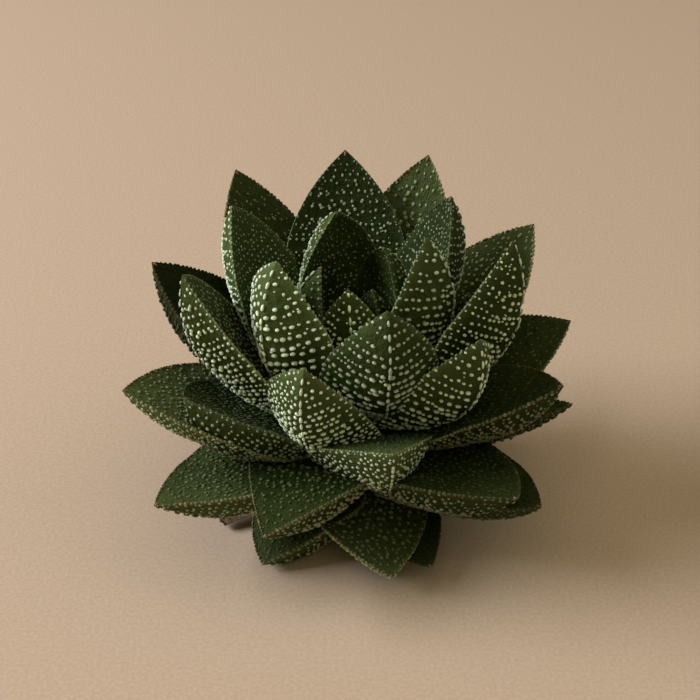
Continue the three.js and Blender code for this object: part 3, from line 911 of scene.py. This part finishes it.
@dataclass
class DriedLeaf:
    """A withered leaf base: a thin wrinkled blade, curled at its sides and torn at its end."""

    form: DriedForm
    seed: int
    along_points: int = 44
    across_points: int = 26
    thickness: float = 0.9
    start: float = 5.0  # how far from the foot the blade begins
    root_share: float = 0.72  # the blade's width at its root, and what its middle adds
    belly: float = 0.3
    end_loss: float = 0.15
    ragged: float = 0.05  # how uneven its sides are
    torn_end: float = 0.7
    wrinkles: float = 0.34
    side_curl: float = 1.5
    waves: float = 0.35
    sag: float = 0.55  # share of the droop that shows, and the power by which it grows
    sag_power: float = 1.6
    clear: float = 0.15  # over the floor
    length_fit: float = 0.98  # shares of the stated length and width that the blade fills
    width_fit: float = 0.97

    def build(self, finish: bpy.types.Material) -> bpy.types.Object:
        """Two sheets a thickness apart that meet at the edges, bent by a curl and a sum of waves."""
        form = self.form
        outward, sideways = compass(form.azimuth)
        behind = ROSETTE_BASE * math.tan(math.radians(LEAN))
        foot = np.array([PLANT_SHIFT[0], PLANT_SHIFT[1] + behind, 0.0])
        along = np.linspace(0, 1, self.along_points)
        ring = np.linspace(0, 2 * math.pi, 2 * self.across_points, endpoint=False)
        grid_a, grid_r = np.meshgrid(along, ring, indexing="ij")
        across = np.cos(grid_r)
        lift = np.sin(grid_r) * self.thickness * 0.5
        shape = self.root_share + self.belly * np.sin(math.pi * grid_a)
        half = form.width / 2 * shape * (1 - self.end_loss * grid_a**3)
        edge = 1 + self.ragged * ripple(grid_a * 5, np.sign(across) * 2.0, self.seed + 9, finest=5.0)
        torn = self.torn_end * ripple(across * 4, across * 2, self.seed + 5, finest=5.0) * grid_a**6
        wrinkle = self.wrinkles * ripple(grid_a * 5.0, across * 2.2, self.seed, waves=7, finest=5.0)
        waved = self.waves * np.sin(9 * grid_a + 3 * across + form.azimuth)
        curl = self.side_curl * across**2 * (1 - 0.5 * grid_a) + waved
        drop = form.droop * grid_a**self.sag_power * self.sag
        z = np.maximum(form.height - drop + curl + wrinkle + lift, self.clear + 0.2 * np.sin(grid_r))
        reach = self.start + form.length * grid_a * self.length_fit + torn
        aside = half * across * edge * self.width_fit
        points = foot + reach[..., None] * outward + aside[..., None] * sideways + z[..., None] * UP
        ends = [points[0].mean(0), points[-1].mean(0)]
        quads, triangles = tube_faces(self.along_points, 2 * self.across_points)
        parts = MeshParts()
        parts.add(
            np.concatenate([points.reshape(-1, 3), ends]), quads[:, ::-1], triangles[:, ::-1],
            shade=np.append(wrinkle.ravel(), [0, 0]),
        )
        return parts.build(form.name, finish)


# --- finishes ---


@dataclass
class NodeTree:
    """A short way to add and join shader nodes."""

    tree: bpy.types.NodeTree

    def add(
        self, kind: str, inputs: dict[str, object] | None = None, **settings: object
    ) -> bpy.types.Node:
        """Adds a node.

        Args:
            kind: the node's type.
            inputs: a value or a socket for each input, by the input's name.
            **settings: the node's own properties.

        Returns:
            The node.
        """
        node = self.tree.nodes.new(kind)
        for key, value in settings.items():
            setattr(node, key, value)
        for key, value in (inputs or {}).items():
            self.feed(value, node.inputs[key])
        return node

    def feed(self, value: object, socket: Socket) -> None:
        """Links a socket into another, or sets the other's own value."""
        if isinstance(value, Socket):
            self.tree.links.new(value, socket)
        else:
            socket.default_value = value

    def math(self, operation: str, a: object, b: object) -> Socket:
        """A Math node of two values or sockets; returns its output."""
        node = self.add("ShaderNodeMath", operation=operation)
        for value, socket in zip((a, b), node.inputs):
            self.feed(value, socket)
        return node.outputs[0]

    def mix(self, factor: object, a: object, b: object) -> Socket:
        """A colour Mix node; the factor is a value or a socket, and a and b colours or sockets."""
        node = self.add("ShaderNodeMix", data_type="RGBA")
        self.feed(factor, node.inputs[0])
        for colour, socket in ((a, node.inputs[6]), (b, node.inputs[7])):
            self.feed((*colour, 1.0) if isinstance(colour, tuple) else colour, socket)
        return node.outputs[2]

    def blend(self, colour: object, over: object, mask: Socket, strength: float) -> Socket:
        """Lays a colour over another where a mask is, no stronger than a strength."""
        return self.mix(self.math("MULTIPLY", mask, strength), colour, over)

    def attribute(self, name: str) -> Socket:
        """The value of a point attribute."""
        return self.add("ShaderNodeAttribute", attribute_name=name).outputs["Fac"]

    def noise(self, vector: Socket, scale: object, detail: float) -> Socket:
        """A noise value at a scale, which is a value or a socket."""
        inputs = {"Vector": vector, "Scale": scale, "Detail": detail}
        return self.add("ShaderNodeTexNoise", inputs).outputs["Fac"]

    def ramp(self, factor: Socket, low: float, high: float) -> Socket:
        """Carries low..high to 0..1, clamped."""
        inputs = {"Value": factor, "From Min": low, "From Max": high}
        return self.add("ShaderNodeMapRange", inputs).outputs["Result"]

    def bump(self, height: Socket, distance: float, strength: float = 0.7) -> Socket:
        """A normal raised by a height; the distance is in metres."""
        inputs = {"Height": height, "Distance": distance, "Strength": strength}
        return self.add("ShaderNodeBump", inputs).outputs["Normal"]


def start_material(name: str) -> tuple[bpy.types.Material, NodeTree, bpy.types.NodeInputs]:
    """A new material, its node tree and its Principled shader's inputs."""
    material = bpy.data.materials.new(name)
    material.use_nodes = True
    return material, NodeTree(material.node_tree), material.node_tree.nodes["Principled BSDF"].inputs


LUMP_SCALE = 380.0  # lumps to a metre, and how high they are against the grain
LUMP_HEIGHT = 3.0


def mottle_group() -> bpy.types.NodeTree:
    """A group of object-space noise: broad patches, fine grain and a height of lumps and grain.

    Returns:
        The group, with Patches, Grain and Height outputs.
    """
    group = bpy.data.node_groups.new("mottle", "ShaderNodeTree")
    group.interface.new_socket("Patch scale", in_out="INPUT", socket_type="NodeSocketFloat")
    group.interface.new_socket("Grain scale", in_out="INPUT", socket_type="NodeSocketFloat")
    for name in ("Patches", "Grain", "Height"):
        group.interface.new_socket(name, in_out="OUTPUT", socket_type="NodeSocketFloat")
    tree = NodeTree(group)
    inputs, outputs = tree.add("NodeGroupInput"), tree.add("NodeGroupOutput")
    place = tree.add("ShaderNodeTexCoord").outputs["Object"]
    patches = tree.noise(place, inputs.outputs["Patch scale"], 3.0)
    grain = tree.noise(place, inputs.outputs["Grain scale"], 4.0)
    lumps = tree.noise(place, LUMP_SCALE, 2.0)
    height = tree.math("ADD", tree.math("MULTIPLY", lumps, LUMP_HEIGHT), grain)
    for value, name in ((patches, "Patches"), (grain, "Grain"), (height, "Height")):
        tree.feed(value, outputs.inputs[name])
    return group


@dataclass(frozen=True)
class LeafFinish:
    """Colours, wear and painted sheen of a leaf of one age, as linear RGB."""

    name: str
    slot: str
    deep: Triple
    light: Triple
    # tip: a greyer green, laid over the outer half toward the tip as a painted sheen, and in the grain as
    # the skin's own light specks.
    tip: Triple
    pearl: Triple
    rim: Triple
    blush: Triple = (0.38, 0.25, 0.18)
    worn: Triple = (0.105, 0.044, 0.026)
    # A grey-green laid on the lighter-toned leaves, those that catch the key: a painted sheen.
    painted_sheen: Triple = (0.10, 0.125, 0.10)
    browning: float = 0.0
    roughness: float = 0.55
    gloss: float = 0.09
    patch_scale: float = 110.0  # patches to a metre
    grain_scale: float = 2000.0
    patch_range: Range = (0.34, 0.68)  # noise values at which a mask begins and is full
    grain_range: Range = (0.47, 0.70)
    streak_range: Range = (0.50, 0.72)
    pearl_range: Range = (0.12, 0.95)
    painted_sheen_range: Range = (1.0, 3.0)  # tones between which the painted sheen comes in
    tip_sheen_share: float = 0.7  # how strongly each colour covers the green
    grain_share: float = 0.55
    painted_sheen_share: float = 0.5
    streak_share: float = 0.45
    rim_share: float = 0.85
    worn_power: float = 1.1
    relief_depth: float = 0.0007  # metres
    streak_relief: float = 0.8

    def build(self, mottle: bpy.types.NodeTree) -> bpy.types.Material:
        """Builds the material: mottled green, pale tubercles, lighter rims and browned edges, with a
        painted sheen of greyer green toward the tip and on the lighter-toned leaves.
        """
        material, tree, shader = start_material(self.name)
        scales = {"Patch scale": self.patch_scale, "Grain scale": self.grain_scale}
        spots = tree.add("ShaderNodeGroup", scales, node_tree=mottle).outputs
        pale, blush, rim, tone = (tree.attribute(name) for name in ("pale", "blush", "rim", "tone"))
        patches = tree.ramp(spots["Patches"], *self.patch_range)
        grain = tree.ramp(spots["Grain"], *self.grain_range)
        streaks = self.streaks(tree)
        green = tree.mix(patches, self.deep, self.light)
        # Painted sheen: the greyer tip colour over the outer half of the leaf. The grain then lays the
        # same colour as small specks, the skin's own.
        green = tree.blend(green, self.tip, tree.ramp(tree.attribute("along"), 0.5, 1.0), self.tip_sheen_share)
        green = tree.blend(green, self.tip, grain, self.grain_share)
        # Painted sheen: grey-green laid over leaves of high tone, the ones that catch the key.
        green = tree.blend(green, self.painted_sheen, tree.ramp(tone, *self.painted_sheen_range), self.painted_sheen_share)
        green = tree.blend(green, self.rim, streaks, self.streak_share)
        green = tree.blend(green, self.rim, rim, self.rim_share)
        if self.browning:
            worn = tree.math("MULTIPLY", tree.math("POWER", rim, self.worn_power), self.browning)
            green = tree.mix(tree.math("MULTIPLY", worn, patches), green, self.worn)
        studded = tree.mix(tree.ramp(pale, *self.pearl_range), green, self.pearl)
        # Scaling by the tone lightens or darkens each leaf: partly its own lightness, partly painted light
        # and shade.
        inputs = {"Vector": tree.mix(blush, studded, self.blush), "Scale": tone}
        scaled = tree.add("ShaderNodeVectorMath", inputs, operation="SCALE")
        tree.feed(scaled.outputs["Vector"], shader["Base Color"])
        dull = tree.math("ADD", tree.math("MULTIPLY", grain, 0.12), self.roughness)
        tree.feed(tree.math("ADD", dull, tree.math("MULTIPLY", pale, 0.08)), shader["Roughness"])
        raised = tree.math("ADD", tree.math("MULTIPLY", streaks, self.streak_relief), spots["Height"])
        tree.feed(tree.bump(raised, self.relief_depth), shader["Normal"])
        shader["Specular IOR Level"].default_value = self.gloss
        return material

    def streaks(self, tree: NodeTree) -> Socket:
        """Broken lengthwise lines on the inner face: noise stretched along the leaf."""
        sideways = tree.math("MULTIPLY", tree.attribute("across"), 1.5)
        lengthwise = tree.math("MULTIPLY", tree.attribute("run"), 0.16)
        vector = tree.add("ShaderNodeCombineXYZ", {"X": sideways, "Y": lengthwise}).outputs["Vector"]
        lines = tree.ramp(tree.noise(vector, 1.6, 3.0), *self.streak_range)
        return tree.math("MULTIPLY", lines, tree.attribute("front"))


LEAF_FINISHES = {
    Age.YOUNG: LeafFinish(
        "leaf_young", "leaf_fresh", deep=(0.0100, 0.0255, 0.0008), light=(0.027, 0.057, 0.0045),
        tip=(0.062, 0.088, 0.022), pearl=(0.47, 0.565, 0.42), rim=(0.105, 0.160, 0.058),
    ),
    Age.GROWN: LeafFinish(
        "leaf_grown", "leaf_fresh", deep=(0.0092, 0.0230, 0.0008), light=(0.025, 0.052, 0.0045),
        tip=(0.058, 0.082, 0.020), pearl=(0.46, 0.55, 0.40), rim=(0.100, 0.150, 0.055),
        browning=0.15, gloss=0.08,
    ),
    Age.OLD: LeafFinish(
        "leaf_old", "leaf_old", deep=(0.0075, 0.0180, 0.0008), light=(0.020, 0.038, 0.005),
        tip=(0.042, 0.058, 0.016), pearl=(0.345, 0.41, 0.25), rim=(0.068, 0.094, 0.035),
        painted_sheen=(0.09, 0.11, 0.06), browning=0.5, roughness=0.58, gloss=0.05,
    ),
}


@dataclass(frozen=True)
class WitheredFinish:
    """A dull brown that varies in streaks and patches, for the stem and the dried leaves."""

    name: str
    dark: Triple
    light: Triple
    patch_scale: float = 260.0  # patches to a metre
    grain_scale: float = 1400.0
    roughness: float = 0.72
    relief_depth: float = 0.0006  # metres

    def build(self, mottle: bpy.types.NodeTree) -> bpy.types.Material:
        """Builds the material."""
        material, tree, shader = start_material(self.name)
        scales = {"Patch scale": self.patch_scale, "Grain scale": self.grain_scale}
        spots = tree.add("ShaderNodeGroup", scales, node_tree=mottle).outputs
        # Painted shade: lighter where the stem's scars and the blade's wrinkles stand up, darker in the
        # grooves between.
        shade = tree.ramp(tree.attribute("shade"), -0.5, 0.5)
        patches = tree.ramp(spots["Patches"], 0.32, 0.68)
        colour = tree.mix(patches, self.dark, self.light)
        colour = tree.blend(colour, self.light, shade, 0.5)
        tree.feed(tree.blend(colour, self.dark, spots["Grain"], 0.5), shader["Base Color"])
        roughness = tree.math("ADD", tree.math("MULTIPLY", patches, 0.15), self.roughness)
        tree.feed(roughness, shader["Roughness"])
        tree.feed(tree.bump(spots["Height"], self.relief_depth), shader["Normal"])
        return material


# --- the studio ---


@dataclass(frozen=True)
class SoftLight:
    """A rectangular area light that faces the plant."""

    name: str
    turn: float  # degrees about the plant, 0 on its left and 90 behind it
    rise: float  # degrees over the floor
    size: tuple[float, float]  # metres
    power: float  # watts
    colour: Triple

    def build(self, distance: float) -> None:
        """Hangs the light at a distance in metres."""
        data = bpy.data.lights.new(self.name, "AREA")
        data.shape = "RECTANGLE"
        data.size, data.size_y = self.size
        data.energy = self.power
        data.color = self.colour
        yaw, pitch = math.radians(self.turn), math.radians(self.rise)
        level = math.cos(pitch)
        away = np.array([-level * math.cos(yaw), level * math.sin(yaw), math.sin(pitch)])
        light = link(self.name, data)
        light.location = distance * away + AIM_HEIGHT * UP
        light.rotation_euler = (math.pi / 2 - pitch, 0, -math.pi / 2 - yaw)


AIM_HEIGHT = 0.03  # metres over the floor that the lights face
LIGHTS = (
    SoftLight("key", 4, 32, (1.2, 0.8), 31.8, (0.98, 0.945, 0.94)),
    SoftLight("top", 0, 90, (2.0, 2.0), 2.8, (1.0, 0.84, 0.64)),
    SoftLight("right", 180, 40, (1.6, 1.6), 5.6, (1.0, 0.92, 0.69)),
    SoftLight("front", -90, 45, (1.6, 1.6), 4.4, (1.0, 0.85, 0.46)),
    SoftLight("back", 90, 70, (1.6, 1.6), 3.8, (1.0, 0.75, 0.45)),
)


@dataclass
class Studio:
    """A plain beige floor, a soft window-like key from the left, weak warm fills and the camera."""

    target: Triple = (-1.43, 1.32, 50.6)
    elevation: float = 30.0
    distance: float = 520.0
    view_angle: float = 22.6
    floor_colour: Triple = (0.655, 0.525, 0.41)
    floor_shade: float = 0.88  # how dark the paper's grain is against its colour
    floor_grain: float = 900.0  # grains to a metre
    floor_size: float = 6.0  # metres
    light_distance: float = 1.7  # metres
    sky: float = 0.01

    def make_camera(self) -> None:
        """Places the camera in front, looking down at the plant."""
        rise = math.radians(self.elevation)
        target = np.array(self.target) * MM
        place = target + np.array([0, -math.cos(rise), math.sin(rise)]) * self.distance * MM
        data = bpy.data.cameras.new("camera")
        data.sensor_width = 36.0
        data.lens = 18.0 / math.tan(math.radians(self.view_angle) / 2)
        data.clip_start = 0.01
        data.clip_end = 20.0
        camera = link("camera", data)
        camera.location = place
        camera.rotation_euler = (math.pi / 2 - rise, 0, 0)
        bpy.context.scene.camera = camera

    def make_floor(self) -> None:
        """A wide plane with a faint paper grain."""
        half = self.floor_size / 2
        mesh = bpy.data.meshes.new("floor")
        corners = [(-half, -half, 0), (half, -half, 0), (half, half, 0), (-half, half, 0)]
        mesh.from_pydata(corners, [], [(0, 1, 2, 3)])
        material, tree, shader = start_material("paper")
        grain = tree.noise(tree.add("ShaderNodeTexCoord").outputs["Object"], self.floor_grain, 3.0)
        darker = tuple(self.floor_shade * value for value in self.floor_colour)
        colour = tree.mix(tree.ramp(grain, 0.35, 0.65), darker, self.floor_colour)
        tree.feed(colour, shader["Base Color"])
        shader["Roughness"].default_value = 0.9
        shader["Specular IOR Level"].default_value = 0.15
        mesh.materials.append(material)
        floor = link("floor", mesh)

    def build(self) -> None:
        """Makes the floor, the lights, the sky fill and the camera."""
        self.make_camera()
        self.make_floor()
        for light in LIGHTS:
            light.build(self.light_distance)
        world = bpy.data.worlds.new("room")
        world.use_nodes = True
        world.node_tree.nodes["Background"].inputs["Color"].default_value = (*[self.sky] * 3, 1)
        bpy.context.scene.world = world
        bpy.context.scene.view_settings.view_transform = "Standard"


# --- the plant ---


LEAF_SEED = 100  # the first leaf's seed, and the first dried leaf's
DRIED_SEED = 300


def age_of(label: str) -> Age:
    """A leaf's age, from the tier in its label."""
    tier = label.split("_")[0]
    if tier in ("crown", "inner"):
        return Age.YOUNG
    return Age.GROWN if tier == "middle" else Age.OLD


def settle(piece: bpy.types.Object, node: str, slot: str) -> None:
    """Rides a finished piece on the plant's one body in place of its solid."""
    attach(piece, "root")
    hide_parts(node)
    log.info("%s: %d faces", piece.name, len(piece.data.polygons))


def main() -> None:
    """Loads the frame, then builds the studio and every piece of the plant in order."""
    logging.basicConfig(level=logging.INFO, format="%(name)s: %(message)s")
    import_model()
    Studio().build()
    mottle = mottle_group()
    finishes = {age: finish.build(mottle) for age, finish in LEAF_FINISHES.items()}
    for index, form in enumerate(LEAVES):
        age = age_of(form.label)
        settle(Leaf(form, LEAF_SEED + index, age).build(finishes[age]), form.name, LEAF_FINISHES[age].slot)
    bark = WitheredFinish("stem_bark", (0.045, 0.028, 0.016), (0.20, 0.14, 0.085)).build(mottle)
    withered = WitheredFinish("withered_leaf", (0.050, 0.028, 0.015), (0.22, 0.13, 0.072)).build(mottle)
    settle(Stem().build(bark), "stem", "stem")
    for index, form in enumerate(DRIED_LEAVES):
        settle(DriedLeaf(form, DRIED_SEED + index).build(withered), form.name, "dried_leaf")


if __name__ == "__main__":
    main()
